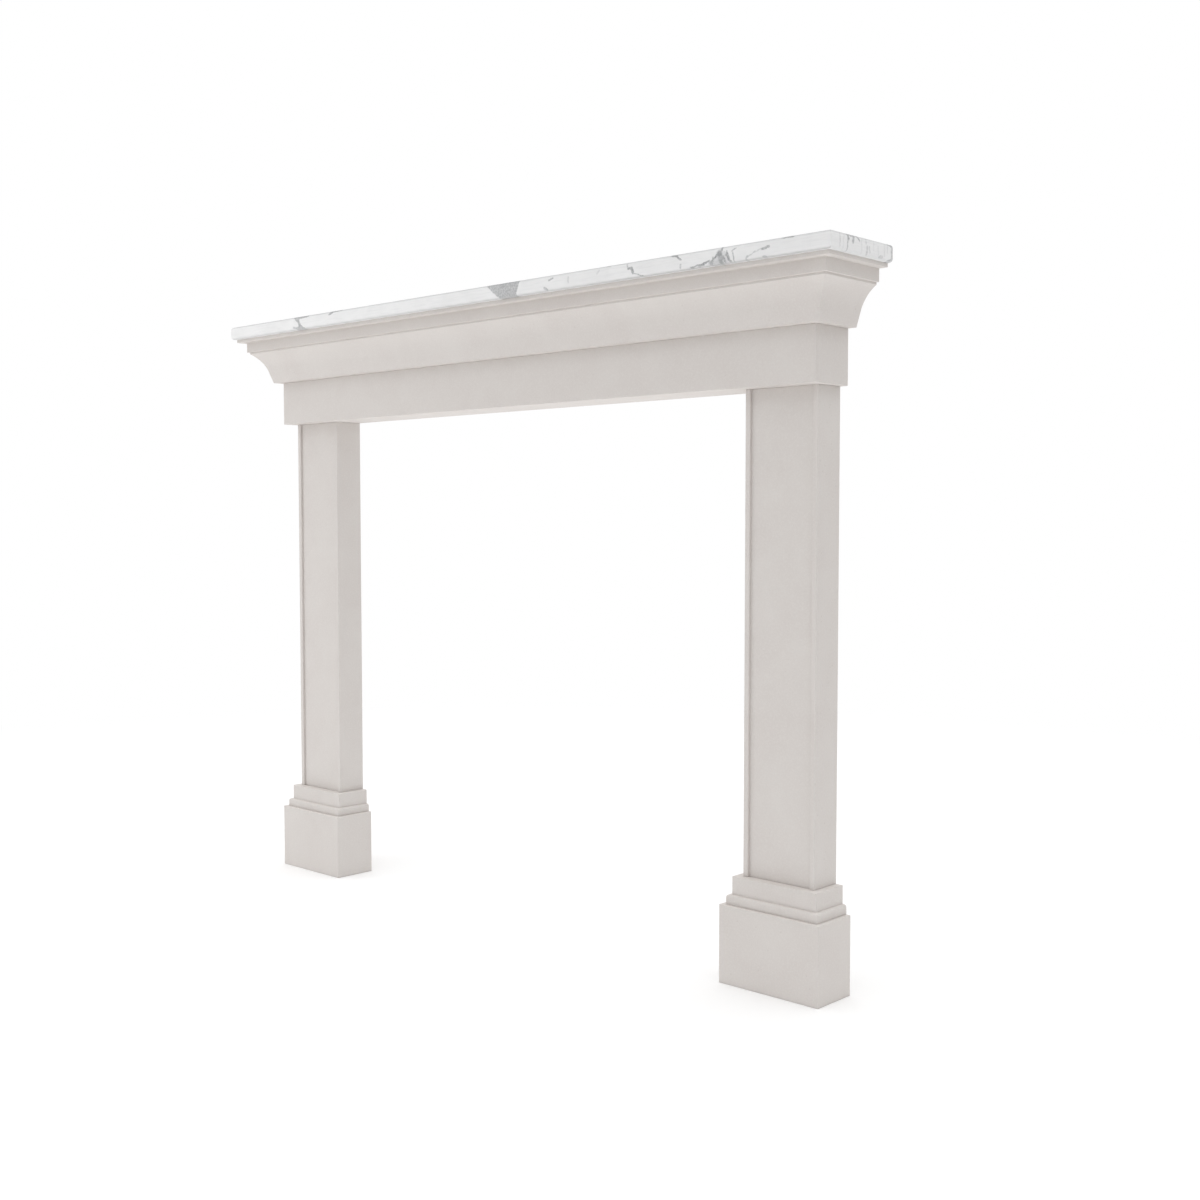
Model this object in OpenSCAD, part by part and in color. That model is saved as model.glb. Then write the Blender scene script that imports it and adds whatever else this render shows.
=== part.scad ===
// Fireplace mantelpiece: a marble shelf on a moulded cornice, a plain frieze and two panelled legs.
// Millimetres, Z up, front face towards -Y, back against the wall at +Y.
// The origin is on the floor, under the middle of the shelf.

/* [Shelf] */
// Length of the shelf, the longest size of the mantelpiece
shelf_length = 1500; // [1300:10:1700]
// Depth of the shelf from the wall
shelf_depth = 161; // [150:1:190]
// Thickness of the shelf
shelf_thick = 26; // [20:1:34]
// Radius of the shelf's eased top and bottom edges
shelf_round = 6; // [2:0.5:9]

/* [Cornice] */
// Overhang of the shelf past the listel
shelf_set = 8.5; // [5:0.5:14]
// Height of the listel, the thin board under the shelf
listel_height = 6; // [4:0.5:12]
// Overhang of the listel past the fascia
listel_set = 14.5; // [8:0.5:18]
// Height of the fascia, the flat band under the listel
fascia_height = 20; // [12:1:30]
// Overhang of the fascia past the top of the cove
fascia_set = 4.5; // [2:0.5:8]
// Height of the small upright step above the cove
step_height = 3.5; // [2:0.5:6]
// Height of the cove with its straight foot
cove_height = 60; // [54:1:70]
// Distance that the cove leans out, from its foot to its top
cove_reach = 34.5; // [32:0.5:38]
// Height of the straight sloping foot of the cove
foot_height = 23.5; // [18:0.5:26]
// Lean of the straight foot out of the upright, in degrees
foot_lean = 17; // [12:1:19]
// Overhang of the cove's foot past the frieze
foot_set = 14.5; // [8:0.5:18]

/* [Frieze] */
// Height of the frieze
frieze_height = 86.5; // [60:0.5:140]
// Overhang of the frieze past the front of the legs
frieze_set_front = 25.5; // [10:0.5:28]
// Overhang of the frieze past the outer side of each leg
frieze_set_side = 13.5; // [4:0.5:30]

/* [Legs] */
// Height of the fire opening, from the floor to the underside of the frieze
opening_height = 937; // [800:1:1100]
// Width of each leg
leg_width = 135.5; // [110:0.5:160]
// Width of the raised strip on each side of a leg's panel
stile_width = 9; // [5:0.5:20]
// Depth of the panel sunk in the front of each leg
panel_depth = 4.5; // [2:0.5:8]

/* [Bases] */
// Height of the plinth block under each leg
plinth_height = 126; // [90:1:180]
// Overhang of the plinth past the collar, at the front and both sides
plinth_set = 7.5; // [3:0.5:14]
// Height of the collar, the thin lower tier of the base
collar_height = 15.5; // [10:0.5:24]
// Overhang of the collar past the block above it
collar_set = 7; // [5:0.5:12]
// Radius of the collar's rounded top edge
collar_round = 4.5; // [2:0.5:5]
// Height of the block, the upper tier of the base
block_height = 29; // [18:1:50]
// Overhang of the block past the leg
block_set = 12.5; // [6:0.5:20]

/* [Hidden] */

$fn = 96;
far = 2 * shelf_length;
marble = [0.90, 0.90, 0.89];
limestone = [0.82, 0.80, 0.78];

// The back of every piece is in the wall's plane
wall_y = shelf_depth / 2;

// Heights from the floor
base_z = plinth_height;
leg_z = base_z + collar_height + block_height;
frieze_z = opening_height;
cornice_z = frieze_z + frieze_height;
shelf_z = cornice_z + cove_height + step_height + fascia_height + listel_height;

// Projections of the cornice past the frieze
cove_out = foot_set + cove_reach;
fascia_out = cove_out + fascia_set;
listel_out = fascia_out + listel_set;
shelf_out = listel_out + shelf_set;

// The cove's arc starts where the straight foot ends, in the same direction, and ends at the cove's top.
// tangent_* is the start; arc_dx and arc_dz lead from there to the end.
tangent_x = foot_set + foot_height * tan(foot_lean);
arc_dx = cove_out - tangent_x;
arc_dz = cove_height - foot_height;
cove_radius = (arc_dx * arc_dx + arc_dz * arc_dz)
            / (2 * (arc_dx * cos(foot_lean) - arc_dz * sin(foot_lean)));

// Sizes worked back from the shelf
frieze_half = shelf_length / 2 - shelf_out;
frieze_depth = shelf_depth - shelf_out;
leg_depth = frieze_depth - frieze_set_front;
leg_x = frieze_half - frieze_set_side - leg_width / 2;

// Projections of the base past the leg
collar_out = block_set + collar_set;
plinth_out = collar_out + plinth_set;

// Flat outline of one band of a moulding: it runs back from its face at x = out, and starts at height z
module band(out, z, height) {
    translate([out - far, z]) square([far, height]);
}

// The same band with its top edge rounded
module band_round_top(out, z, height, radius) {
    band(out - radius, z, height);
    band(out, z, height - radius);
    translate([out - radius, z + height - radius]) circle(r = radius);
}

// Straight sloping foot with the cove's hollow arc above it
module cove_outline() {
    difference() {
        polygon([
            [cove_out - far, 0],
            [foot_set, 0],
            [tangent_x, foot_height],
            [cove_out, foot_height],
            [cove_out, cove_height],
            [cove_out - far, cove_height]
        ]);
        translate([tangent_x + cove_radius * cos(foot_lean),
                   foot_height - cove_radius * sin(foot_lean)])
            circle(r = cove_radius, $fn = 4 * $fn);
    }
}

module cornice_outline() {
    cove_outline();
    band(cove_out, cove_height, step_height);
    band(fascia_out, cove_height + step_height, fascia_height);
    band(listel_out, cove_height + step_height + fascia_height, listel_height);
}

module base_outline() {
    band_round_top(collar_out, 0, collar_height, collar_round);
    band(block_set, collar_height, block_height);
}

module shelf_outline() {
    band(-shelf_round, 0, shelf_thick);
    band(0, shelf_round, shelf_thick - 2 * shelf_round);
    for (z = [shelf_round, shelf_thick - shelf_round])
        translate([-shelf_round, z]) circle(r = shelf_round);
}

// A long straight run of an outline, facing +X, or -Y when it is turned by -90
module run(turn) {
    rotate([90, 0, turn]) linear_extrude(height = 2 * far, center = true) children();
}

// Carries an outline round the front and both sides of a body of this width and depth.
// Each corner is a mitre, because the piece is what lies behind all three runs, and the back is flat.
module wrapped(width, depth) {
    intersection() {
        translate([0, wall_y - depth, 0]) run(-90) children();
        translate([width / 2, 0, 0]) run(0) children();
        translate([-width / 2, 0, 0]) mirror([1, 0, 0]) run(0) children();
        translate([-far, wall_y - far, -far]) cube([2 * far, far, 2 * far]);
    }
}

module shelf() {
    color(marble)
        translate([0, 0, shelf_z]) wrapped(shelf_length, shelf_depth) shelf_outline();
}

module cornice() {
    color(limestone)
        translate([0, 0, cornice_z]) wrapped(2 * frieze_half, frieze_depth) cornice_outline();
}

module frieze() {
    color(limestone)
        translate([-frieze_half, wall_y - frieze_depth, frieze_z])
            cube([2 * frieze_half, frieze_depth, frieze_height]);
}

// side is -1 for the left leg and 1 for the right leg
module leg(side) {
    color(limestone)
        translate([side * leg_x - leg_width / 2, wall_y - leg_depth, leg_z])
            linear_extrude(height = frieze_z - leg_z)
                difference() {
                    square([leg_width, leg_depth]);
                    translate([stile_width, -panel_depth])
                        square([leg_width - 2 * stile_width, 2 * panel_depth]);
                }
}

module base(side) {
    color(limestone)
        translate([side * leg_x, 0, base_z]) wrapped(leg_width, leg_depth) base_outline();
}

module plinth(side) {
    color(limestone)
        translate([side * leg_x, 0, 0]) wrapped(leg_width, leg_depth) band(plinth_out, 0, plinth_height);
}

shelf();
cornice();
frieze();
leg(-1);  // leg_left
leg(1);  // leg_right
base(-1);  // base_left
base(1);  // base_right
plinth(-1);  // plinth_left
plinth(1);  // plinth_right
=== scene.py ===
import math

import bmesh
import bpy
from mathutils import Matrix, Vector


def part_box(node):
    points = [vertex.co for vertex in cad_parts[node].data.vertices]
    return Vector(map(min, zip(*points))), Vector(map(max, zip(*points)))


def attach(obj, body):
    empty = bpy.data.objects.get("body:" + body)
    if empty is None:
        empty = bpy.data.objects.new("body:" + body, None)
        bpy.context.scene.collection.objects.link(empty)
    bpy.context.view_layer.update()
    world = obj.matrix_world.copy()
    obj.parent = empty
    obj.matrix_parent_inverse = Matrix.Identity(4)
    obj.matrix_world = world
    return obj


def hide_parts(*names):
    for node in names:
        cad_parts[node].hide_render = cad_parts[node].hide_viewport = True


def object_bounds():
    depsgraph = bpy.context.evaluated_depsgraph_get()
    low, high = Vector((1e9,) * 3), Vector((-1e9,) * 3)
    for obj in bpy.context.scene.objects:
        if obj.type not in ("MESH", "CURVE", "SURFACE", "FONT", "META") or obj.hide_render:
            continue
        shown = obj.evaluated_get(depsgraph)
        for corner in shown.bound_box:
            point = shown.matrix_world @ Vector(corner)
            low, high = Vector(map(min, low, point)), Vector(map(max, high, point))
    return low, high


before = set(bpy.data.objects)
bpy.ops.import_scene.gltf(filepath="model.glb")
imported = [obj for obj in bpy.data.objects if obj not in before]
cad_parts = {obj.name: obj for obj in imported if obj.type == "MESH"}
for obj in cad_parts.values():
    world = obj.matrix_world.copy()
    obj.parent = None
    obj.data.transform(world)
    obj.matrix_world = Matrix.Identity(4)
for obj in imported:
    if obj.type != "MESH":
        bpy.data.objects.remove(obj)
cadLow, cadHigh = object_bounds()
wallY = cadHigh.y  # every piece has its flat back here
print("CAD frame loaded:", len(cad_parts), "nodes")

# shared by every piece: what counts as the front or the wall, and how rounds are cut and shaded
modelling = {
    "frontMargin": 0.0005,
    "wallMargin": 0.00001,
    "roundSegments": 3,
    "roundProfile": 0.5,
    "smoothAngle": 40,
}


def deselectAll():
    if bpy.context.mode != "OBJECT":
        bpy.ops.object.mode_set(mode="OBJECT")
    bpy.ops.object.select_all(action="DESELECT")


def layPlan(name, low, high):  # a flat plan at the foot of the piece
    deselectAll()
    middle = ((low.x + high.x) / 2, (low.y + high.y) / 2, low.z)
    bpy.ops.mesh.primitive_plane_add(size=1, location=middle)
    plan = bpy.context.object
    plan.name = name
    plan.data.name = name
    plan.scale = (high.x - low.x, high.y - low.y, 1)
    bpy.ops.object.transform_apply(location=True, rotation=False, scale=True)
    return plan


def cutRounds(size, kind):  # small rounds on the selected corners or edges
    bpy.ops.mesh.bevel(
        offset=size, segments=modelling["roundSegments"], profile=modelling["roundProfile"], affect=kind,
        clamp_overlap=kind == "EDGES",
    )


def roundCorners(plan, radius):  # the upright arrises at the front
    bpy.ops.object.mode_set(mode="EDIT")
    bpy.ops.mesh.select_mode(type="VERT")
    bpy.ops.mesh.select_all(action="DESELECT")
    outline = bmesh.from_edit_mesh(plan.data)
    frontY = min(corner.co.y for corner in outline.verts)
    for corner in outline.verts:
        corner.select_set(corner.co.y < frontY + modelling["frontMargin"])
    bmesh.update_edit_mesh(plan.data)
    cutRounds(radius, "VERTICES")
    bpy.ops.object.mode_set(mode="OBJECT")


def drawUp(plan, low, high, steps):  # steps are (how far out, how high) from the plan's own outline
    middleX = (low.x + high.x) / 2
    halfWidth = (high.x - low.x) / 2
    depth = wallY - low.y
    bpy.ops.object.mode_set(mode="EDIT")
    bpy.ops.mesh.select_mode(type="FACE")
    bpy.ops.mesh.select_all(action="SELECT")
    out = 0
    height = 0
    for count, (newOut, newHeight) in enumerate(steps):
        if count:
            rise = (0, 0, newHeight - height)
            bpy.ops.mesh.extrude_region_move(TRANSFORM_OT_translate={"value": rise})
        wider = (halfWidth + newOut) / (halfWidth + out)
        deeper = (depth + newOut) / (depth + out)
        bpy.ops.transform.resize(value=(wider, deeper, 1), center_override=(middleX, wallY, 0))
        out = newOut
        height = newHeight
    bpy.ops.mesh.select_all(action="SELECT")
    bpy.ops.mesh.normals_make_consistent(inside=False)
    bpy.ops.object.mode_set(mode="OBJECT")


def easeArrises(piece, width, sharpest=40):  # every outer edge that isn't on the wall
    bpy.ops.object.mode_set(mode="EDIT")
    bpy.ops.mesh.select_mode(type="EDGE")
    bpy.ops.mesh.select_all(action="DESELECT")
    shell = bmesh.from_edit_mesh(piece.data)
    for edge in shell.edges:
        onWall = all(abs(corner.co.y - wallY) < modelling["wallMargin"] for corner in edge.verts)
        if not onWall and edge.calc_face_angle_signed(0) > math.radians(sharpest):
            edge.select_set(True)
    bmesh.update_edit_mesh(piece.data)
    cutRounds(width, "EDGES")
    bpy.ops.object.mode_set(mode="OBJECT")


def smoothFaces(piece):  # rounds shade smooth, flats stay flat
    deselectAll()
    piece.select_set(True)
    bpy.context.view_layer.objects.active = piece
    bpy.ops.object.shade_smooth_by_angle(angle=math.radians(modelling["smoothAngle"]))
    flatten = piece.modifiers.new("flatFaces", "WEIGHTED_NORMAL")
    flatten.keep_sharp = True
    bpy.ops.object.modifier_apply(modifier="flatFaces")


def copyAcross(piece, name, distance):
    deselectAll()
    piece.select_set(True)
    bpy.context.view_layer.objects.active = piece
    bpy.ops.object.duplicate(linked=False)
    twin = bpy.context.object
    twin.name = name
    twin.data.name = name
    bpy.ops.transform.translate(value=(distance, 0, 0))
    bpy.ops.object.transform_apply(location=True, rotation=False, scale=False)
    return twin


def handOver(piece, node, finish):
    piece.data.materials.clear()
    piece.data.materials.append(finish)
    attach(piece, "root")
    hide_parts(node)
    print("finished", piece.name, "with", len(piece.data.polygons), "faces")


def tone(red, green, blue):  # a colour as it is read on screen, made linear
    shares = [value / 255 for value in (red, green, blue)]
    return [*(s / 12.92 if s < 0.04045 else ((s + 0.055) / 1.055) ** 2.4 for s in shares), 1]


def addNode(tree, kind, **settings):
    made = tree.nodes.new(kind)
    for name, value in settings.items():
        setattr(made, name, value)
    return made


def feed(tree, socket, value):  # a link where the value comes from a node, else a plain number
    if isinstance(value, bpy.types.NodeSocket):
        tree.links.new(value, socket)
    else:
        socket.default_value = value


def sums(tree, operation, first, second=0.0):
    made = addNode(tree, "ShaderNodeMath", operation=operation)
    feed(tree, made.inputs[0], first)
    feed(tree, made.inputs[1], second)
    return made.outputs[0]


def vectors(tree, operation, first, second=(0, 0, 0)):
    made = addNode(tree, "ShaderNodeVectorMath", operation=operation)
    feed(tree, made.inputs[0], first)
    feed(tree, made.inputs[1], second)
    return made.outputs["Value"] if operation in ("DOT_PRODUCT", "LENGTH") else made.outputs["Vector"]


def remap(tree, value, fromLow, fromHigh, toLow=0.0, toHigh=1.0, smooth=False):
    made = addNode(tree, "ShaderNodeMapRange", interpolation_type="SMOOTHSTEP" if smooth else "LINEAR")
    for count, number in enumerate((value, fromLow, fromHigh, toLow, toHigh)):
        feed(tree, made.inputs[count], number)
    return made.outputs[0]


def blendColours(tree, share, first, second):
    made = addNode(tree, "ShaderNodeMix", data_type="RGBA")
    feed(tree, made.inputs[0], share)
    feed(tree, made.inputs[6], first)
    feed(tree, made.inputs[7], second)
    return made.outputs[2]


def noise(tree, place, scale, detail=2.0, roughness=0.5, distortion=0.0):
    made = addNode(tree, "ShaderNodeTexNoise")
    feed(tree, made.inputs["Vector"], place)
    feed(tree, made.inputs["Scale"], scale)
    made.inputs["Detail"].default_value = detail
    made.inputs["Roughness"].default_value = roughness
    made.inputs["Distortion"].default_value = distortion
    return made


def startGroup(name, takes, gives):
    tree = bpy.data.node_groups.new(name, "ShaderNodeTree")
    for label, kind, value in takes:
        socket = tree.interface.new_socket(label, in_out="INPUT", socket_type=kind)
        if kind == "NodeSocketFloat":
            socket.default_value = value
    for label, kind in gives:
        tree.interface.new_socket(label, in_out="OUTPUT", socket_type=kind)
    return tree, tree.nodes.new("NodeGroupInput").outputs, tree.nodes.new("NodeGroupOutput").inputs


def place(tree, group, **values):  # a group in a material, its inputs given by name with _ for a space
    made = addNode(tree, "ShaderNodeGroup", node_tree=group)
    for name, value in values.items():
        feed(tree, made.inputs[name.replace("_", " ")], value)
    return made.outputs


# numbers inside the shared effects: how round a pit is, how far wear and shade reach
effects = {
    "pitEdge": (0.12, 0.3),
    "wearReach": 0.003,
    "wearSamples": 6,
    "wearBand": (1.0, 0.9),
    "wearPatches": (0.35, 0.65),
    "shadeLift": 0.7,
    "shadeSamples": 8,
    "shadeRange": (0.9, 0.25),
    "soffitRange": (-0.75, -0.4),
    "ledgeRange": (0.9, 0.5),
    "cornerSamples": 6,
    "cornerRange": (0.9, 0.45),
}

# stoneGrain: fine grain, broad clouds and sparse pits of any stone
grainTree, given, result = startGroup(
    "stoneGrain",
    [
        ("Coordinates", "NodeSocketVector", None),
        ("Grain Size", "NodeSocketFloat", 0.0025),
        ("Cloud Size", "NodeSocketFloat", 0.08),
        ("Pit Size", "NodeSocketFloat", 0.005),
        ("Pit Share", "NodeSocketFloat", 0.2),
    ],
    [("Grain", "NodeSocketFloat"), ("Clouds", "NodeSocketFloat"), ("Pits", "NodeSocketFloat")],
)
grainScale = sums(grainTree, "DIVIDE", 1.0, given["Grain Size"])
cloudScale = sums(grainTree, "DIVIDE", 1.0, given["Cloud Size"])
pitScale = sums(grainTree, "DIVIDE", 1.0, given["Pit Size"])
fineGrain = noise(grainTree, given["Coordinates"], grainScale, 3, 0.6)
broadClouds = noise(grainTree, given["Coordinates"], cloudScale, 4, 0.55, 0.5)
pitCells = addNode(grainTree, "ShaderNodeTexVoronoi")
grainTree.links.new(given["Coordinates"], pitCells.inputs["Vector"])
grainTree.links.new(pitScale, pitCells.inputs["Scale"])
pitRound = remap(grainTree, pitCells.outputs["Distance"], *effects["pitEdge"], 1.0, 0.0, True)
cellDraw = addNode(grainTree, "ShaderNodeSeparateColor")
grainTree.links.new(pitCells.outputs["Color"], cellDraw.inputs[0])
pitKept = sums(grainTree, "LESS_THAN", cellDraw.outputs[0], given["Pit Share"])
pitDepth = sums(grainTree, "MULTIPLY", pitRound, pitKept)
grainTree.links.new(fineGrain.outputs[0], result["Grain"])
grainTree.links.new(broadClouds.outputs[0], result["Clouds"])
grainTree.links.new(sums(grainTree, "MULTIPLY", pitDepth, cellDraw.outputs[1]), result["Pits"])

# arrisWear: patches of wear along the edges
wearTree, given, result = startGroup(
    "arrisWear",
    [
        ("Coordinates", "NodeSocketVector", None),
        ("Patch Size", "NodeSocketFloat", 0.02),
    ],
    [("Wear", "NodeSocketFloat")],
)
roundedEdge = addNode(wearTree, "ShaderNodeBevel", samples=effects["wearSamples"])
roundedEdge.inputs["Radius"].default_value = effects["wearReach"]
plainFace = addNode(wearTree, "ShaderNodeNewGeometry")
agreement = vectors(wearTree, "DOT_PRODUCT", roundedEdge.outputs[0], plainFace.outputs["Normal"])
edgeBand = remap(wearTree, agreement, *effects["wearBand"])
patchScale = sums(wearTree, "DIVIDE", 1.0, given["Patch Size"])
patches = noise(wearTree, given["Coordinates"], patchScale, 4, 0.65)
patchShare = remap(wearTree, patches.outputs[0], *effects["wearPatches"])
wearTree.links.new(sums(wearTree, "MULTIPLY", edgeBand, patchShare), result["Wear"])

# overhangShade: painted shade from ambient occlusion, darker on an upright face under a projecting one, and
# in narrow inner corners
shadeTree, given, result = startGroup(
    "overhangShade",
    [("Reach", "NodeSocketFloat", 0.03), ("Corner Reach", "NodeSocketFloat", 0.005)],
    [("Shade", "NodeSocketFloat"), ("Corner", "NodeSocketFloat")],
)
faceWay = addNode(shadeTree, "ShaderNodeNewGeometry").outputs["Normal"]
leaned = vectors(shadeTree, "ADD", faceWay, (0, 0, effects["shadeLift"]))
leaned = vectors(shadeTree, "NORMALIZE", leaned)
cover = addNode(shadeTree, "ShaderNodeAmbientOcclusion", samples=effects["shadeSamples"])
shadeTree.links.new(given["Reach"], cover.inputs["Distance"])
shadeTree.links.new(leaned, cover.inputs["Normal"])
coverShare = remap(shadeTree, cover.outputs["AO"], *effects["shadeRange"])
faceParts = addNode(shadeTree, "ShaderNodeSeparateXYZ")
shadeTree.links.new(faceWay, faceParts.inputs[0])
notSoffit = remap(shadeTree, faceParts.outputs["Z"], *effects["soffitRange"])
notLedge = remap(shadeTree, faceParts.outputs["Z"], *effects["ledgeRange"])
kept = sums(shadeTree, "MULTIPLY", notSoffit, notLedge)
shadeTree.links.new(sums(shadeTree, "MULTIPLY", coverShare, kept), result["Shade"])
tuck = addNode(shadeTree, "ShaderNodeAmbientOcclusion", samples=effects["cornerSamples"])
shadeTree.links.new(given["Corner Reach"], tuck.inputs["Distance"])
cornerCover = remap(shadeTree, tuck.outputs["AO"], *effects["cornerRange"])
shadeTree.links.new(cornerCover, result["Corner"])
print("shared stone effects ready")


limestoneLook = {
    "body": tone(222, 217, 213),
    "shade": tone(218, 212, 208),
    "bright": tone(228, 224, 220),
    "pit": tone(184, 176, 169),
    "grainSize": 0.003,
    "cloudSize": 0.09,
    "pitSize": 0.006,
    "pitShare": 0.06,
    "cloudRange": (0.3, 0.7),
    "grainRange": (0.45, 0.75),
    "grainShare": 0.55,
    "pitDarkness": 0.25,
    "wearShare": 0.15,
    "wearPolish": 0.12,
    "roughness": (0.72, 0.86),
    "roughRange": (0.3, 0.7),
    "specular": 0.3,
    "bumpStrength": 0.35,
    "bumpDepth": 0.0006,
    # tuck is the colour of the painted shade under projecting mouldings and in inner corners
    "tuck": tone(142, 134, 128),
    "overhangShadeShare": 0.10,
    "overhangShadeReach": 0.03,
    "cornerShadeShare": 0.09,
    "cornerShadeReach": 0.005,
}


def makeLimestone():
    finish = bpy.data.materials.new("limestone")
    finish.use_nodes = True
    tree = finish.node_tree
    shader = tree.nodes["Principled BSDF"]
    spot = addNode(tree, "ShaderNodeTexCoord").outputs["Object"]
    stone = place(
        tree, grainTree, Coordinates=spot, Grain_Size=limestoneLook["grainSize"],
        Cloud_Size=limestoneLook["cloudSize"], Pit_Size=limestoneLook["pitSize"],
        Pit_Share=limestoneLook["pitShare"],
    )
    wear = place(tree, wearTree, Coordinates=spot)["Wear"]
    cloudShare = remap(tree, stone["Clouds"], *limestoneLook["cloudRange"])
    colour = blendColours(tree, cloudShare, limestoneLook["shade"], limestoneLook["body"])
    grainShare = remap(tree, stone["Grain"], *limestoneLook["grainRange"], 0.0, limestoneLook["grainShare"])
    colour = blendColours(tree, grainShare, colour, limestoneLook["bright"])
    pitShare = sums(tree, "MULTIPLY", stone["Pits"], limestoneLook["pitDarkness"])
    colour = blendColours(tree, pitShare, colour, limestoneLook["pit"])
    under = place(
        tree, shadeTree, Reach=limestoneLook["overhangShadeReach"], Corner_Reach=limestoneLook["cornerShadeReach"],
    )
    # painted shade: the stone colour is darkened under projecting mouldings and in narrow inner corners
    overhangShadeShare = sums(tree, "MULTIPLY", under["Shade"], limestoneLook["overhangShadeShare"])
    cornerShadeShare = sums(tree, "MULTIPLY", under["Corner"], limestoneLook["cornerShadeShare"])
    paintedShadeShare = sums(tree, "ADD", overhangShadeShare, cornerShadeShare)
    colour = blendColours(tree, paintedShadeShare, colour, limestoneLook["tuck"])
    wearShare = sums(tree, "MULTIPLY", wear, limestoneLook["wearShare"])
    colour = blendColours(tree, wearShare, colour, limestoneLook["bright"])
    tree.links.new(colour, shader.inputs["Base Color"])
    rough = remap(tree, stone["Grain"], *limestoneLook["roughRange"], *limestoneLook["roughness"])
    polish = sums(tree, "MULTIPLY", wear, limestoneLook["wearPolish"])
    tree.links.new(sums(tree, "SUBTRACT", rough, polish), shader.inputs["Roughness"])
    shader.inputs["Specular IOR Level"].default_value = limestoneLook["specular"]
    relief = sums(tree, "SUBTRACT", stone["Grain"], stone["Pits"])
    bump = addNode(tree, "ShaderNodeBump")
    bump.inputs["Strength"].default_value = limestoneLook["bumpStrength"]
    bump.inputs["Distance"].default_value = limestoneLook["bumpDepth"]
    tree.links.new(relief, bump.inputs["Height"])
    tree.links.new(bump.outputs[0], shader.inputs["Normal"])
    return finish


limestone = makeLimestone()
print("limestone ready")


# marbleVein: a thin wandering sheet of grey in the marble, seen as a line wherever a face cuts it
veinTree, given, result = startGroup(
    "marbleVein",
    [
        ("Coordinates", "NodeSocketVector", None),
        ("Ragged", "NodeSocketFloat", 0.5),
        ("Middle", "NodeSocketVector", None),
        ("Across", "NodeSocketVector", None),
        ("Reach", "NodeSocketVector", None),
        ("Half Width", "NodeSocketFloat", 0.001),
        ("Widening", "NodeSocketFloat", 0.0),
        ("Feather", "NodeSocketFloat", 0.002),
        ("Strength", "NodeSocketFloat", 1.0),
        ("Vein Below", "NodeSocketFloat", 0.0),
    ],
    [("Vein", "NodeSocketFloat")],
)
fromMiddle = vectors(veinTree, "SUBTRACT", given["Coordinates"], given["Middle"])
offSheet = sums(veinTree, "ABSOLUTE", vectors(veinTree, "DOT_PRODUCT", fromMiddle, given["Across"]))
upFromMiddle = addNode(veinTree, "ShaderNodeSeparateXYZ")
veinTree.links.new(fromMiddle, upFromMiddle.inputs[0])
flare = sums(veinTree, "MULTIPLY", upFromMiddle.outputs["Z"], given["Widening"])
halfHere = sums(veinTree, "MAXIMUM", sums(veinTree, "ADD", given["Half Width"], flare), 0.0)
outside = sums(veinTree, "ADD", halfHere, given["Feather"])
inSheet = remap(veinTree, offSheet, outside, halfHere, 0.0, 1.0, True)
farness = vectors(veinTree, "LENGTH", vectors(veinTree, "DIVIDE", fromMiddle, given["Reach"]))
inReach = remap(veinTree, farness, 1.0, 0.6, 0.0, 1.0, True)
solidShare = sums(veinTree, "MULTIPLY", sums(veinTree, "MULTIPLY", inSheet, inReach), given["Strength"])
broken = sums(veinTree, "MULTIPLY", solidShare, given["Ragged"])
veinTree.links.new(sums(veinTree, "MAXIMUM", broken, given["Vein Below"]), result["Vein"])

marbleLook = {
    "white": tone(243, 243, 243),
    "haze": tone(238, 238, 238),
    "vein": tone(126, 128, 131),
    # edge is the colour of the painted shade on the slab's rounded edges
    "edge": tone(184, 185, 186),
    # joint is the colour of the painted shade along the lower front edge
    "lowerEdgeShade": tone(140, 138, 136),
    "lowerEdgeShadeShare": (0.22, 0.42),
    "grainSize": 0.002,
    "cloudSize": 0.05,
    "pitSize": 0.004,
    "pitShare": 0.03,
    "wander": 0.006,
    "wanderScale": 140.0,
    "curl": 1.3,
    "curlScale": 13.0,
    "raggedScale": 300.0,
    "raggedRange": (0.35, 0.6),
    "evenFrom": (0.003, 0.03),
    "evenness": (0.55, 0.85),
    "paleFrom": (0.004, 0.045),
    "palest": 0.3,
    "reachBack": 1.9,
    "reachBackMore": 14,
    "inward": 0.3,
    "driftScale": 2.6,
    "driftWidth": 0.02,
    "driftFadeScale": 6.0,
    "driftFadeRange": (0.4, 0.65),
    "driftFaintest": 0.15,
    "driftStart": (0.006, 0.04),
    "driftStrength": (0.03, 0.5),
    "hazeRange": (0.35, 0.7),
    "streak": tone(229, 229, 230),
    "streakLean": (0.05, 0.12, 0),
    "streakScale": (28, 28, 330),
    "streakRange": (0.48, 0.72),
    "streakShare": 0.5,
    "flatRange": (0.998, 0.97),
    "roundRange": (0.3, 0.75),
    "edgeShadeShare": (0.3, 0.6),
    "edgeShadeRange": (-0.5, 0.5),
    "lowerEdgeShadeRange": (-0.62, -0.9),
    "lowerEdgeShadeFacing": (-0.08, -0.2),
    "lowerEdgeShadeAlong": (-0.2, 0.45),
    "veinOnLowerEdgeShade": 0.45,
    "roughness": (0.40, 0.50),
    "roughRange": (0.3, 0.7),
    "edgeRoughness": 0.2,
    "specular": 0.4,
    "grainRelief": 0.3,
    "bumpStrength": 0.15,
    "bumpDepth": 0.0003,
}
slabLow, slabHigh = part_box("shelf")

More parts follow.
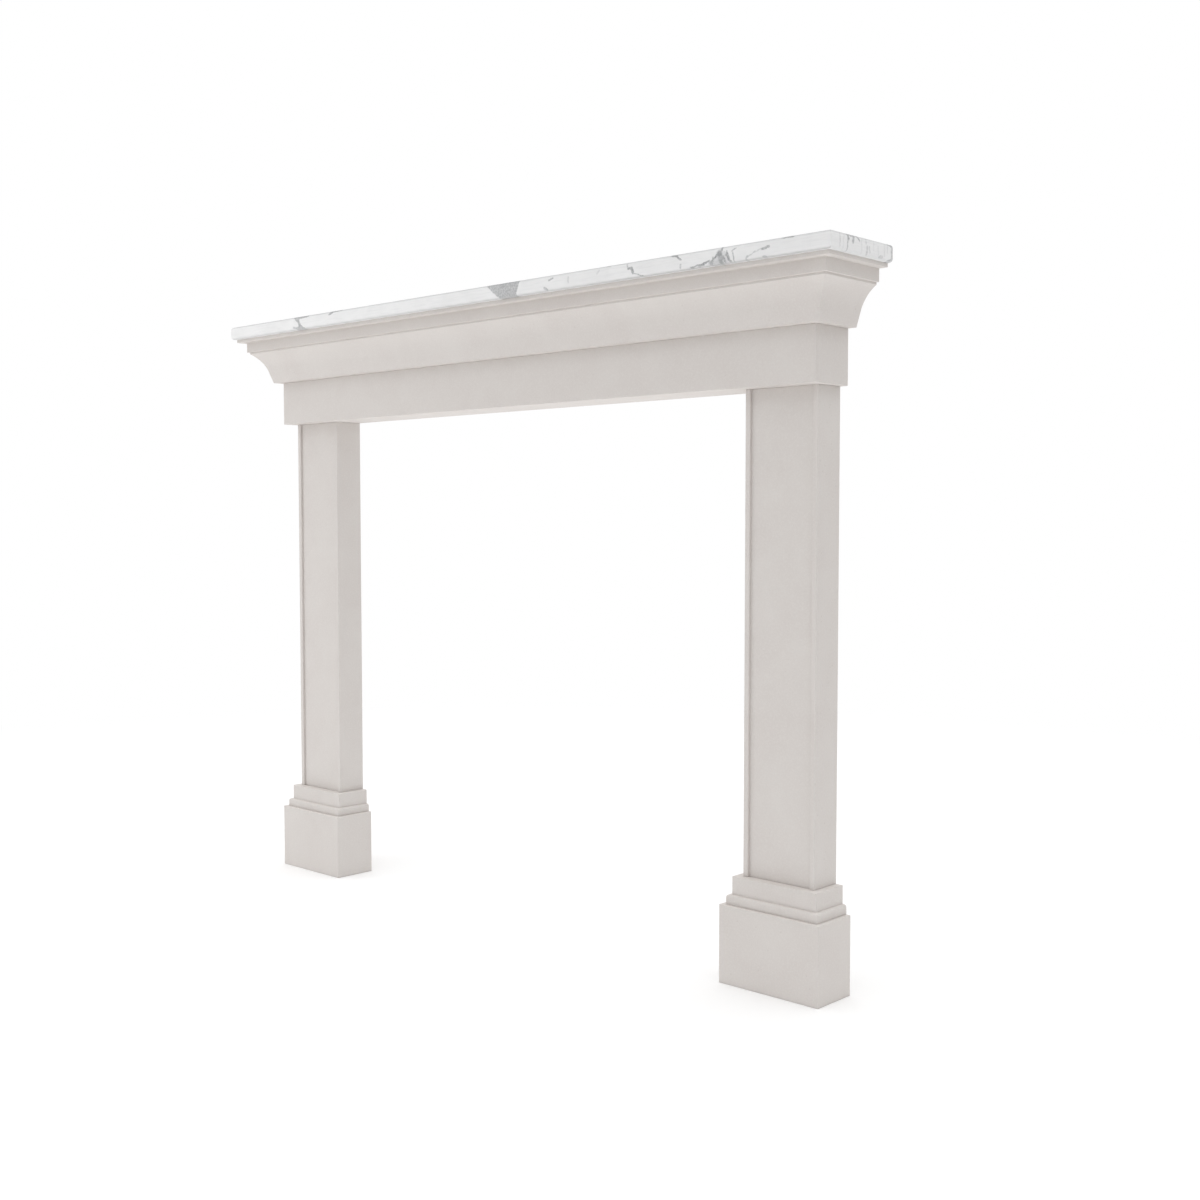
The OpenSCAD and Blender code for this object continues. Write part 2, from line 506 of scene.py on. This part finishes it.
# millimetres and degrees: along from the middle of the shelf, height above its underside, tilt of the line,
# half width, widening with height, feather, reach along and up, strength
frontVeins = [
    (-513, 24, 90, 11.5, 1.3, 1.8, 22, 13, 0.62),
    (-508, 13, -60, 2.0, 0, 1.8, 12, 12, 0.72),
    (-504, 1.5, 90, 12.0, -1.4, 2.5, 23, 13, 0.62),
    (-520, 4.5, -8, 1.0, 0, 1.8, 11, 8, 0.55),
    (-492, 25.2, 3, 3.2, 0, 2.0, 20, 9, 0.66),
    (-404, 21.6, 18, 1.4, 0, 1.4, 8.5, 7, 0.75),
    (-388, 24.7, 2, 1.0, 0, 1.2, 24, 6, 0.66),
    (92.5, 15, 90, 24.5, 0.33, 2.5, 62, 42, 0.66),
    (59.5, 19, -37, 5.5, 0, 2.5, 31, 25, 0.62),
    (198.5, 18.8, 16, 0.8, 0, 1.3, 7.5, 6, 0.65),
    (186, 4.0, -35, 1.4, 0, 1.8, 7, 6, 0.58),
    (238, 13.5, 88, 1.2, 0, 1.8, 6, 7, 0.26),
    (305, 18, 40, 0.7, 0, 2.2, 5, 6, 0.20),
    (328, 24.5, 0, 0.6, 0, 1.4, 6, 5, 0.34),
    (369.5, 18.5, -60, 0.7, 0, 1.2, 5, 7, 0.42),
    (374, 15.8, 8, 1.4, 0, 1.2, 7, 6, 0.80),
    (378.5, 12, -66, 1.5, 0, 1.3, 6, 8, 0.80),
    (390, 4.0, -18, 0.3, 0, 1.0, 14, 9, 0.70),
    (464, 23.3, -10, 1.0, 0, 1.2, 9, 6, 0.80),
    (473.5, 18.8, -35, 0.7, 0, 1.2, 8, 7, 0.75),
    (477, 6.5, 78, 0.8, 0, 1.6, 4, 5, 0.42),
    (508, 3.2, 6, 0.6, 0, 1.2, 16, 8, 0.78),
    (523, 5.0, 16, 0.9, 0, 1.3, 16, 10, 0.88),
    (544, 11.6, 35, 1.0, 0, 1.3, 18, 16, 0.85),
    (550, 7.0, 30, 4.6, 0, 2.6, 20, 13, 0.38),
    (561, 9.0, -64, 4.0, 0, 2.4, 12, 12, 0.30),
    (538.5, 6.5, 62, 1.8, 0, 1.6, 8, 8, 0.72),
    (554, 10, -76, 3.2, 0, 2.2, 11, 14, 0.80),
    (561.5, 7, -62, 1.2, 0, 1.3, 7, 9, 0.75),
    (568.5, 8.5, -62, 1.5, 0, 1.5, 9, 12, 0.82),
    (556, 20.5, 82, 1.4, 0, 1.6, 5, 8, 0.75),
    (564.5, 15, 70, 0.6, 0, 1.2, 4, 6, 0.60),
    (578.5, 8.5, -82, 0.7, 0, 1.3, 5, 10, 0.55),
    (579.5, 18.5, 25, 0.4, 0, 1.1, 6, 5, 0.50),
    (602, 3.5, 48, 0.8, 0, 1.3, 5, 6, 0.48),
    (611, 8, 27, 0.4, 0, 1.1, 13, 9, 0.40),
    (624, 12.6, 14, 0.4, 0, 1.1, 12, 6, 0.36),
    (637, 14.2, 8, 1.1, 0, 1.5, 10, 6, 0.72),
    (634.5, 1.8, -12, 0.9, 0, 1.3, 5, 5, 0.55),
    (676, 24.3, 0, 0.7, 0, 1.0, 13, 5, 0.70),
]
# the same on the right end, measured from half way between the front and the wall
endVeins = [
    (-58, 14, 88, 0.4, 0, 1.2, 6, 14, 0.28),
    (-37.5, 20.8, -80, 1.6, 0, 1.6, 6, 8, 0.68),
    (-39, 9, 88, 0.4, 0, 1.1, 6, 18, 0.55),
    (-49, 12, 87, 0.5, 0, 1.8, 6, 15, 0.13),
    (-3, 13, 92, 0.6, 0, 1.8, 6, 14, 0.13),
    (-24, 19.5, 70, 1.4, 0, 1.6, 7, 8, 0.60),
    (-30, 23.4, 0, 0.8, 0, 1.2, 14, 5, 0.58),
    (-11.5, 22, -40, 0.9, 0, 1.3, 7, 7, 0.62),
    (9, 20.5, 90, 0.7, 0, 1.6, 5, 6, 0.26),
    (11.5, 8, 85, 1.0, 0, 1.8, 5, 9, 0.34),
    (18, 10, 100, 0.7, 0, 1.6, 5, 7, 0.30),
    (29, 17, 88, 0.5, 0, 1.8, 6, 9, 0.14),
    (41, 12, 93, 0.7, 0, 2.0, 6, 9, 0.13),
    (49, 4, 12, 1.0, 0, 1.8, 7, 6, 0.36),
    (58, 14, 84, 0.8, 0, 2.4, 6, 12, 0.16),
    (66, 18, 89, 0.7, 0, 2.0, 6, 9, 0.18),
    # the last three draw a dark line along the back upright edge and the back top and bottom corners of the
    # end
    (78, 13, 90, 1.6, 0, 1.6, 10, 22, 0.50),
    (71.5, 1.5, 20, 1.2, 0, 1.2, 5, 5, 0.75),
    (72.5, 23.2, -20, 1.0, 0, 1.2, 7, 5, 0.55),
]


def addVein(tree, wandering, ragged, below, measures, onEnd):
    along, height, tilt, half, widening, feather, reachAlong, reachUp, strength = measures
    lean = math.radians(tilt)
    reachBack = marbleLook["reachBack"] * reachAlong + marbleLook["reachBackMore"]
    if onEnd:
        middle = (slabHigh.x, along / 1000, slabLow.z + height / 1000)
        line = Vector((0, math.cos(lean), math.sin(lean)))
        inward = Vector((1, marbleLook["inward"], 0))
        reach = (reachBack, reachAlong, reachUp)
    else:
        middle = (along / 1000, slabLow.y, slabLow.z + height / 1000)
        line = Vector((math.cos(lean), 0, math.sin(lean)))
        inward = Vector((marbleLook["inward"], 1, 0))
        reach = (reachAlong, reachBack, reachUp)
    return place(
        tree, veinTree, Coordinates=wandering, Ragged=ragged, Middle=middle,
        Across=line.cross(inward).normalized(), Reach=[size / 1000 for size in reach],
        Half_Width=half / 1000, Widening=widening, Feather=feather / 1000,
        Strength=strength, Vein_Below=below,
    )["Vein"]


def makeMarble():
    finish = bpy.data.materials.new("marble")
    finish.use_nodes = True
    tree = finish.node_tree
    shader = tree.nodes["Principled BSDF"]
    spot = addNode(tree, "ShaderNodeTexCoord").outputs["Object"]
    stone = place(
        tree, grainTree, Coordinates=spot, Grain_Size=marbleLook["grainSize"],
        Cloud_Size=marbleLook["cloudSize"], Pit_Size=marbleLook["pitSize"],
        Pit_Share=marbleLook["pitShare"],
    )

    bend = noise(tree, spot, marbleLook["wanderScale"], 4, 0.65)
    pushed = vectors(tree, "SUBTRACT", bend.outputs["Color"], (0.5, 0.5, 0.5))
    scaled = addNode(tree, "ShaderNodeVectorMath", operation="SCALE")
    tree.links.new(pushed, scaled.inputs[0])
    scaled.inputs["Scale"].default_value = marbleLook["wander"]
    wandering = vectors(tree, "ADD", spot, scaled.outputs["Vector"])
    inside = addNode(tree, "ShaderNodeSeparateXYZ")
    tree.links.new(spot, inside.inputs[0])
    fromFront = sums(tree, "SUBTRACT", inside.outputs["Y"], slabLow.y)
    fromEnd = sums(tree, "SUBTRACT", slabHigh.x, inside.outputs["X"])
    depth = sums(tree, "MAXIMUM", sums(tree, "MINIMUM", fromFront, fromEnd), 0.0)
    sweep = noise(tree, spot, marbleLook["curlScale"], 3, 0.5)
    swept = vectors(tree, "SUBTRACT", sweep.outputs["Color"], (0.5, 0.5, 0.5))
    curl = addNode(tree, "ShaderNodeVectorMath", operation="SCALE")  # veins curl more the deeper they run
    tree.links.new(swept, curl.inputs[0])
    tree.links.new(sums(tree, "MULTIPLY", depth, marbleLook["curl"]), curl.inputs["Scale"])
    wandering = vectors(tree, "ADD", wandering, curl.outputs["Vector"])
    speckle = noise(tree, wandering, marbleLook["raggedScale"], 3, 0.6)
    evenness = remap(tree, depth, *marbleLook["evenFrom"], *marbleLook["evenness"])  # deeper in, more even
    ragged = remap(tree, speckle.outputs[0], *marbleLook["raggedRange"], evenness, 1.0)
    paleness = remap(tree, depth, *marbleLook["paleFrom"], 1.0, marbleLook["palest"], True)  # and paler
    ragged = sums(tree, "MULTIPLY", ragged, paleness)
    veinShare = 0.0
    for measures in frontVeins:
        veinShare = addVein(tree, wandering, ragged, veinShare, measures, False)
    for measures in endVeins:
        veinShare = addVein(tree, wandering, ragged, veinShare, measures, True)

    # long soft veins that run over the top and the underside
    drift = noise(tree, spot, marbleLook["driftScale"], 6, 0.5, 0.5)
    ridge = sums(tree, "ABSOLUTE", sums(tree, "SUBTRACT", drift.outputs[0], 0.5))
    driftLine = remap(tree, ridge, marbleLook["driftWidth"], 0.0, 0.0, 1.0, True)
    driftBreaks = noise(tree, spot, marbleLook["driftFadeScale"], 2, 0.5).outputs[0]
    driftFade = remap(tree, driftBreaks, *marbleLook["driftFadeRange"], marbleLook["driftFaintest"], 1.0)
    driftLine = sums(tree, "MULTIPLY", driftLine, driftFade)
    awayFromFront = remap(tree, fromFront, *marbleLook["driftStart"], *marbleLook["driftStrength"])
    driftShare = sums(tree, "MULTIPLY", driftLine, awayFromFront)

    hazeShare = remap(tree, stone["Clouds"], *marbleLook["hazeRange"])
    colour = blendColours(tree, hazeShare, marbleLook["white"], marbleLook["haze"])
    bedding = addNode(tree, "ShaderNodeMapping")  # faint streaks that lie nearly level in the slab
    tree.links.new(spot, bedding.inputs["Vector"])
    bedding.inputs["Rotation"].default_value = marbleLook["streakLean"]
    bedding.inputs["Scale"].default_value = marbleLook["streakScale"]
    level = noise(tree, bedding.outputs[0], 1.0, 3, 0.6)
    streakShare = remap(tree, level.outputs[0], *marbleLook["streakRange"], 0.0, marbleLook["streakShare"])
    colour = blendColours(tree, streakShare, colour, marbleLook["streak"])
    faceWay = addNode(tree, "ShaderNodeSeparateXYZ")
    tree.links.new(addNode(tree, "ShaderNodeNewGeometry").outputs["Normal"], faceWay.inputs[0])
    tipped = sums(tree, "ABSOLUTE", faceWay.outputs["Z"])
    notFlat = remap(tree, tipped, *marbleLook["flatRange"])
    roundEdge = sums(tree, "MULTIPLY", remap(tree, tipped, *marbleLook["roundRange"]), notFlat)
    # painted shade: the rounded edges of the slab are painted darker, the upper rounding more than the
    # lower
    edgeShadeShare = remap(tree, faceWay.outputs["Z"], *marbleLook["edgeShadeRange"], *marbleLook["edgeShadeShare"])
    colour = blendColours(tree, sums(tree, "MULTIPLY", roundEdge, edgeShadeShare), colour, marbleLook["edge"])
    # painted shade along the lower front edge, on the downward-facing rounding, darker towards the right
    underEdge = remap(tree, faceWay.outputs["Z"], *marbleLook["lowerEdgeShadeRange"])
    underEdge = sums(tree, "MULTIPLY", underEdge, notFlat)
    lowerEdgeShadeHere = remap(tree, inside.outputs["X"], *marbleLook["lowerEdgeShadeAlong"], *marbleLook["lowerEdgeShadeShare"])
    onFront = remap(tree, faceWay.outputs["Y"], *marbleLook["lowerEdgeShadeFacing"], 0.0, lowerEdgeShadeHere)
    colour = blendColours(tree, sums(tree, "MULTIPLY", underEdge, onFront), colour, marbleLook["lowerEdgeShade"])
    allVeins = sums(tree, "MAXIMUM", veinShare, driftShare)
    veinHere = remap(tree, underEdge, 0.0, 1.0, 1.0, marbleLook["veinOnLowerEdgeShade"])
    allVeins = sums(tree, "MULTIPLY", allVeins, veinHere)
    colour = blendColours(tree, allVeins, colour, marbleLook["vein"])
    tree.links.new(colour, shader.inputs["Base Color"])
    rough = remap(tree, stone["Grain"], *marbleLook["roughRange"], *marbleLook["roughness"])
    duller = sums(tree, "MULTIPLY", roundEdge, marbleLook["edgeRoughness"])
    tree.links.new(sums(tree, "ADD", rough, duller), shader.inputs["Roughness"])
    shader.inputs["Specular IOR Level"].default_value = marbleLook["specular"]
    grainRelief = sums(tree, "MULTIPLY", stone["Grain"], marbleLook["grainRelief"])
    relief = sums(tree, "SUBTRACT", grainRelief, stone["Pits"])
    bump = addNode(tree, "ShaderNodeBump")
    bump.inputs["Strength"].default_value = marbleLook["bumpStrength"]
    bump.inputs["Distance"].default_value = marbleLook["bumpDepth"]
    tree.links.new(relief, bump.inputs["Height"])
    tree.links.new(bump.outputs[0], shader.inputs["Normal"])
    return finish


marble = makeMarble()
print("marble ready")


# the slab: a quarter round under it and a quarter round on top, all along the front and the ends
shelf = {"edgeRadius": 0.006, "edgeSteps": 6, "cornerRadius": 0.0012}
low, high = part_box("shelf")
thickness = high.z - low.z
underArc = []
for step in range(shelf["edgeSteps"] + 1):
    angle = math.pi / 2 * step / shelf["edgeSteps"]
    out = shelf["edgeRadius"] * (math.sin(angle) - 1)
    up = shelf["edgeRadius"] * (1 - math.cos(angle))
    underArc.append((out, up))
topArc = [(out, thickness - up) for out, up in reversed(underArc)]
slab = layPlan("marbleShelf", low, high)
roundCorners(slab, shelf["cornerRadius"])
drawUp(slab, low, high, underArc + topArc)
smoothFaces(slab)
handOver(slab, "shelf", marble)


# the cornice widens upwards: a straight foot, a cove, a small step, the fascia and the listel
cornice = {
    "footOut": 0.0145,
    "footHeight": 0.0235,
    "footLean": 17,
    "coveOut": 0.049,
    "coveHeight": 0.060,
    "coveSteps": 18,
    "stepHeight": 0.0035,
    "fasciaOut": 0.0045,
    "fasciaHeight": 0.020,
    "listelOut": 0.0145,
    "cornerRadius": 0.0012,
    "arris": 0.0006,
    "arrisAngle": 30,
}
low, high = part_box("cornice")
friezeLow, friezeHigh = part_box("frieze")
foot = Vector((friezeLow.x, friezeLow.y, low.z))
back = Vector((friezeHigh.x, friezeHigh.y, low.z))
lean = math.radians(cornice["footLean"])
coveFoot = cornice["footOut"] + cornice["footHeight"] * math.tan(lean)
rise = cornice["coveHeight"] - cornice["footHeight"]
run = cornice["coveOut"] - coveFoot
chord = math.hypot(rise, run)
turnHalf = math.atan2(run, rise) - lean  # the arc leaves the straight foot without a break
radius = chord / (2 * math.sin(turnHalf))
steps = [(cornice["footOut"], 0)]
for count in range(cornice["coveSteps"] + 1):
    angle = lean + 2 * turnHalf * count / cornice["coveSteps"]
    out = coveFoot + radius * (math.cos(lean) - math.cos(angle))
    up = cornice["footHeight"] + radius * (math.sin(angle) - math.sin(lean))
    steps.append((out, up))
fasciaOut = cornice["coveOut"] + cornice["fasciaOut"]
fasciaFoot = cornice["coveHeight"] + cornice["stepHeight"]
listelOut = fasciaOut + cornice["listelOut"]
listelFoot = fasciaFoot + cornice["fasciaHeight"]
steps.append((cornice["coveOut"], fasciaFoot))
steps.append((fasciaOut, fasciaFoot))
steps.append((fasciaOut, listelFoot))
steps.append((listelOut, listelFoot))
steps.append((listelOut, high.z - low.z))
moulding = layPlan("stoneCornice", foot, back)
roundCorners(moulding, cornice["cornerRadius"])
drawUp(moulding, foot, back, steps)
easeArrises(moulding, cornice["arris"], cornice["arrisAngle"])
smoothFaces(moulding)
handOver(moulding, "cornice", limestone)


frieze = {"cornerRadius": 0.0012, "arris": 0.001}
low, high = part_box("frieze")
board = layPlan("stoneFrieze", low, high)
roundCorners(board, frieze["cornerRadius"])
drawUp(board, low, high, [(0, 0), (0, high.z - low.z)])
easeArrises(board, frieze["arris"])
smoothFaces(board)
handOver(board, "frieze", limestone)


# each leg has one sunk panel between two stiles, open at its top and its foot
leg = {"stileWidth": 0.009, "panelDepth": 0.0045, "cornerRadius": 0.0012, "arris": 0.001}
low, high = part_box("leg_left")
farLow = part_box("leg_right")[0]
legLeft = layPlan("stoneLegLeft", low, high)
panelY = low.y + leg["panelDepth"]
cuts = [
    ((low.x + leg["stileWidth"], 0, 0), (1, 0, 0)),
    ((high.x - leg["stileWidth"], 0, 0), (1, 0, 0)),
    ((0, panelY, 0), (0, 1, 0)),
]
bpy.ops.object.mode_set(mode="EDIT")
for cutPlace, cutNormal in cuts:
    bpy.ops.mesh.select_all(action="SELECT")
    bpy.ops.mesh.bisect(plane_co=cutPlace, plane_no=cutNormal)
bpy.ops.mesh.select_mode(type="FACE")
bpy.ops.mesh.select_all(action="DESELECT")
outline = bmesh.from_edit_mesh(legLeft.data)
for face in outline.faces:
    centre = face.calc_center_median()
    betweenStiles = low.x + leg["stileWidth"] < centre.x < high.x - leg["stileWidth"]
    face.select_set(betweenStiles and centre.y < panelY)
bmesh.update_edit_mesh(legLeft.data)
bpy.ops.mesh.delete(type="FACE")
bpy.ops.mesh.select_all(action="SELECT")
bpy.ops.mesh.dissolve_limited(angle_limit=math.radians(1))
bpy.ops.object.mode_set(mode="OBJECT")
roundCorners(legLeft, leg["cornerRadius"])
drawUp(legLeft, low, high, [(0, 0), (0, high.z - low.z)])
easeArrises(legLeft, leg["arris"])
smoothFaces(legLeft)
legRight = copyAcross(legLeft, "stoneLegRight", farLow.x - low.x)
handOver(legLeft, "leg_left", limestone)
handOver(legRight, "leg_right", limestone)


# each base is a thin collar with a rounded top edge under a plain block
base = {
    "collarOut": 0.0195,
    "collarHeight": 0.0155,
    "collarRound": 0.0045,
    "roundSteps": 5,
    "blockOut": 0.0125,
    "cornerRadius": 0.0012,
    "arris": 0.0009,
}
low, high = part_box("base_left")
legLow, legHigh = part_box("leg_left")
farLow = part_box("base_right")[0]
foot = Vector((legLow.x, legLow.y, low.z))
back = Vector((legHigh.x, legHigh.y, low.z))
steps = [(base["collarOut"], 0)]
for count in range(base["roundSteps"] + 1):
    angle = math.pi / 2 * count / base["roundSteps"]
    out = base["collarOut"] - base["collarRound"] * (1 - math.cos(angle))
    up = base["collarHeight"] - base["collarRound"] * (1 - math.sin(angle))
    steps.append((out, up))
steps.append((base["blockOut"], base["collarHeight"]))
steps.append((base["blockOut"], high.z - low.z))
baseLeft = layPlan("stoneBaseLeft", foot, back)
roundCorners(baseLeft, base["cornerRadius"])
drawUp(baseLeft, foot, back, steps)
easeArrises(baseLeft, base["arris"])
smoothFaces(baseLeft)
baseRight = copyAcross(baseLeft, "stoneBaseRight", farLow.x - low.x)
handOver(baseLeft, "base_left", limestone)
handOver(baseRight, "base_right", limestone)


plinth = {"cornerRadius": 0.0013, "arris": 0.0008}
low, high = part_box("plinth_left")
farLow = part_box("plinth_right")[0]
plinthLeft = layPlan("stonePlinthLeft", low, high)
roundCorners(plinthLeft, plinth["cornerRadius"])
drawUp(plinthLeft, low, high, [(0, 0), (0, high.z - low.z)])
easeArrises(plinthLeft, plinth["arris"])
smoothFaces(plinthLeft)
plinthRight = copyAcross(plinthLeft, "stonePlinthRight", farLow.x - low.x)
handOver(plinthLeft, "plinth_left", limestone)
handOver(plinthRight, "plinth_right", limestone)


# pale floor, white world brighter from above, two lamps
studio = {
    "zenithLevel": 1.57,
    "horizonLevel": 0.02,
    "floorSize": 80,
    "floorColour": (0.93, 0.93, 0.93, 1),
    "floorLift": 0.1,
    "fadeFrom": 1.7,
    "fadeTo": 3.2,
    "sidePower": 4.05,
    "sideSize": 0.8,
    "sidePlace": (-1.7, -1.3, 1.1),
    "sideAim": (-0.3, 0, 0.7),
    "bouncePower": 2.05,
    "bounceSize": 2.4,
    "bouncePlace": (0.2, -0.2, 0.001),
    "bounceAim": (0.2, -0.2, 1.001),
}


def seenDirectly(tree):  # 1 for camera, glossy and transmission rays
    rays = addNode(tree, "ShaderNodeLightPath").outputs
    mirrored = sums(tree, "MAXIMUM", rays["Is Glossy Ray"], rays["Is Transmission Ray"])
    return sums(tree, "MAXIMUM", rays["Is Camera Ray"], mirrored)


world = bpy.data.worlds.new("studioWorld")
bpy.context.scene.world = world
world.use_nodes = True
tree = world.node_tree
tree.nodes.clear()
lit = addNode(tree, "ShaderNodeBackground")
lit.inputs["Color"].default_value = (1, 1, 1, 1)
lookUp = addNode(tree, "ShaderNodeSeparateXYZ")
tree.links.new(addNode(tree, "ShaderNodeTexCoord").outputs["Generated"], lookUp.inputs[0])
level = remap(tree, lookUp.outputs["Z"], 0.0, 1.0, studio["horizonLevel"], studio["zenithLevel"])
tree.links.new(level, lit.inputs["Strength"])
seen = addNode(tree, "ShaderNodeBackground")
seen.inputs["Color"].default_value = (1, 1, 1, 1)
seen.inputs["Strength"].default_value = 1
chosen = addNode(tree, "ShaderNodeMixShader")
tree.links.new(seenDirectly(tree), chosen.inputs[0])
tree.links.new(lit.outputs[0], chosen.inputs[1])
tree.links.new(seen.outputs[0], chosen.inputs[2])
tree.links.new(chosen.outputs[0], addNode(tree, "ShaderNodeOutputWorld").inputs["Surface"])

deselectAll()
bpy.ops.mesh.primitive_plane_add(size=studio["floorSize"], location=(0, 0, 0))
floor = bpy.context.object
floor.name = "studioFloor"
floorPaint = bpy.data.materials.new("studioFloor")
floorPaint.use_nodes = True
tree = floorPaint.node_tree
tree.nodes.clear()
matt = addNode(tree, "ShaderNodeBsdfDiffuse")
matt.inputs["Color"].default_value = studio["floorColour"]
lift = addNode(tree, "ShaderNodeEmission")
direct = seenDirectly(tree)
tree.links.new(sums(tree, "MULTIPLY", direct, studio["floorLift"]), lift.inputs["Strength"])
lifted = addNode(tree, "ShaderNodeAddShader")
tree.links.new(matt.outputs[0], lifted.inputs[0])
tree.links.new(lift.outputs[0], lifted.inputs[1])
paper = addNode(tree, "ShaderNodeEmission")
distance = vectors(tree, "LENGTH", addNode(tree, "ShaderNodeTexCoord").outputs["Object"])
fade = remap(tree, distance, studio["fadeFrom"], studio["fadeTo"], 0.0, 1.0, True)
blendFloor = addNode(tree, "ShaderNodeMixShader")
tree.links.new(sums(tree, "MULTIPLY", fade, direct), blendFloor.inputs[0])
tree.links.new(lifted.outputs[0], blendFloor.inputs[1])
tree.links.new(paper.outputs[0], blendFloor.inputs[2])
tree.links.new(blendFloor.outputs[0], addNode(tree, "ShaderNodeOutputMaterial").inputs["Surface"])
floor.data.materials.append(floorPaint)


def hangLamp(name, spot, target, size, power):
    aim = (Vector(target) - Vector(spot)).to_track_quat("-Z", "Y").to_euler()
    bpy.ops.object.light_add(type="AREA", location=spot, rotation=aim)
    lamp = bpy.context.object
    lamp.name = name
    lamp.data.shape = "SQUARE"
    lamp.data.size = size
    lamp.data.energy = power
    lamp.visible_camera = False


for side in ("side", "bounce"):
    hangLamp(
        side + "Lamp", studio[side + "Place"], studio[side + "Aim"], studio[side + "Size"],
        studio[side + "Power"],
    )

cameraSetup = {
    "place": (1.9122, -1.7962, 0.728),
    "turn": 43.05,
    "tilt": -3.0,
    "lens": 43.56,
    "filmWidth": 36,
    "farthest": 200,
}
upright = math.radians(90 + cameraSetup["tilt"])
turn = math.radians(cameraSetup["turn"])
bpy.ops.object.camera_add(location=cameraSetup["place"], rotation=(upright, 0, turn))
camera = bpy.context.object
camera.name = "studioCamera"
camera.data.sensor_width = cameraSetup["filmWidth"]
camera.data.lens = cameraSetup["lens"]
camera.data.clip_end = cameraSetup["farthest"]
bpy.context.scene.camera = camera
bpy.context.scene.view_settings.view_transform = "Standard"
print("studio ready")
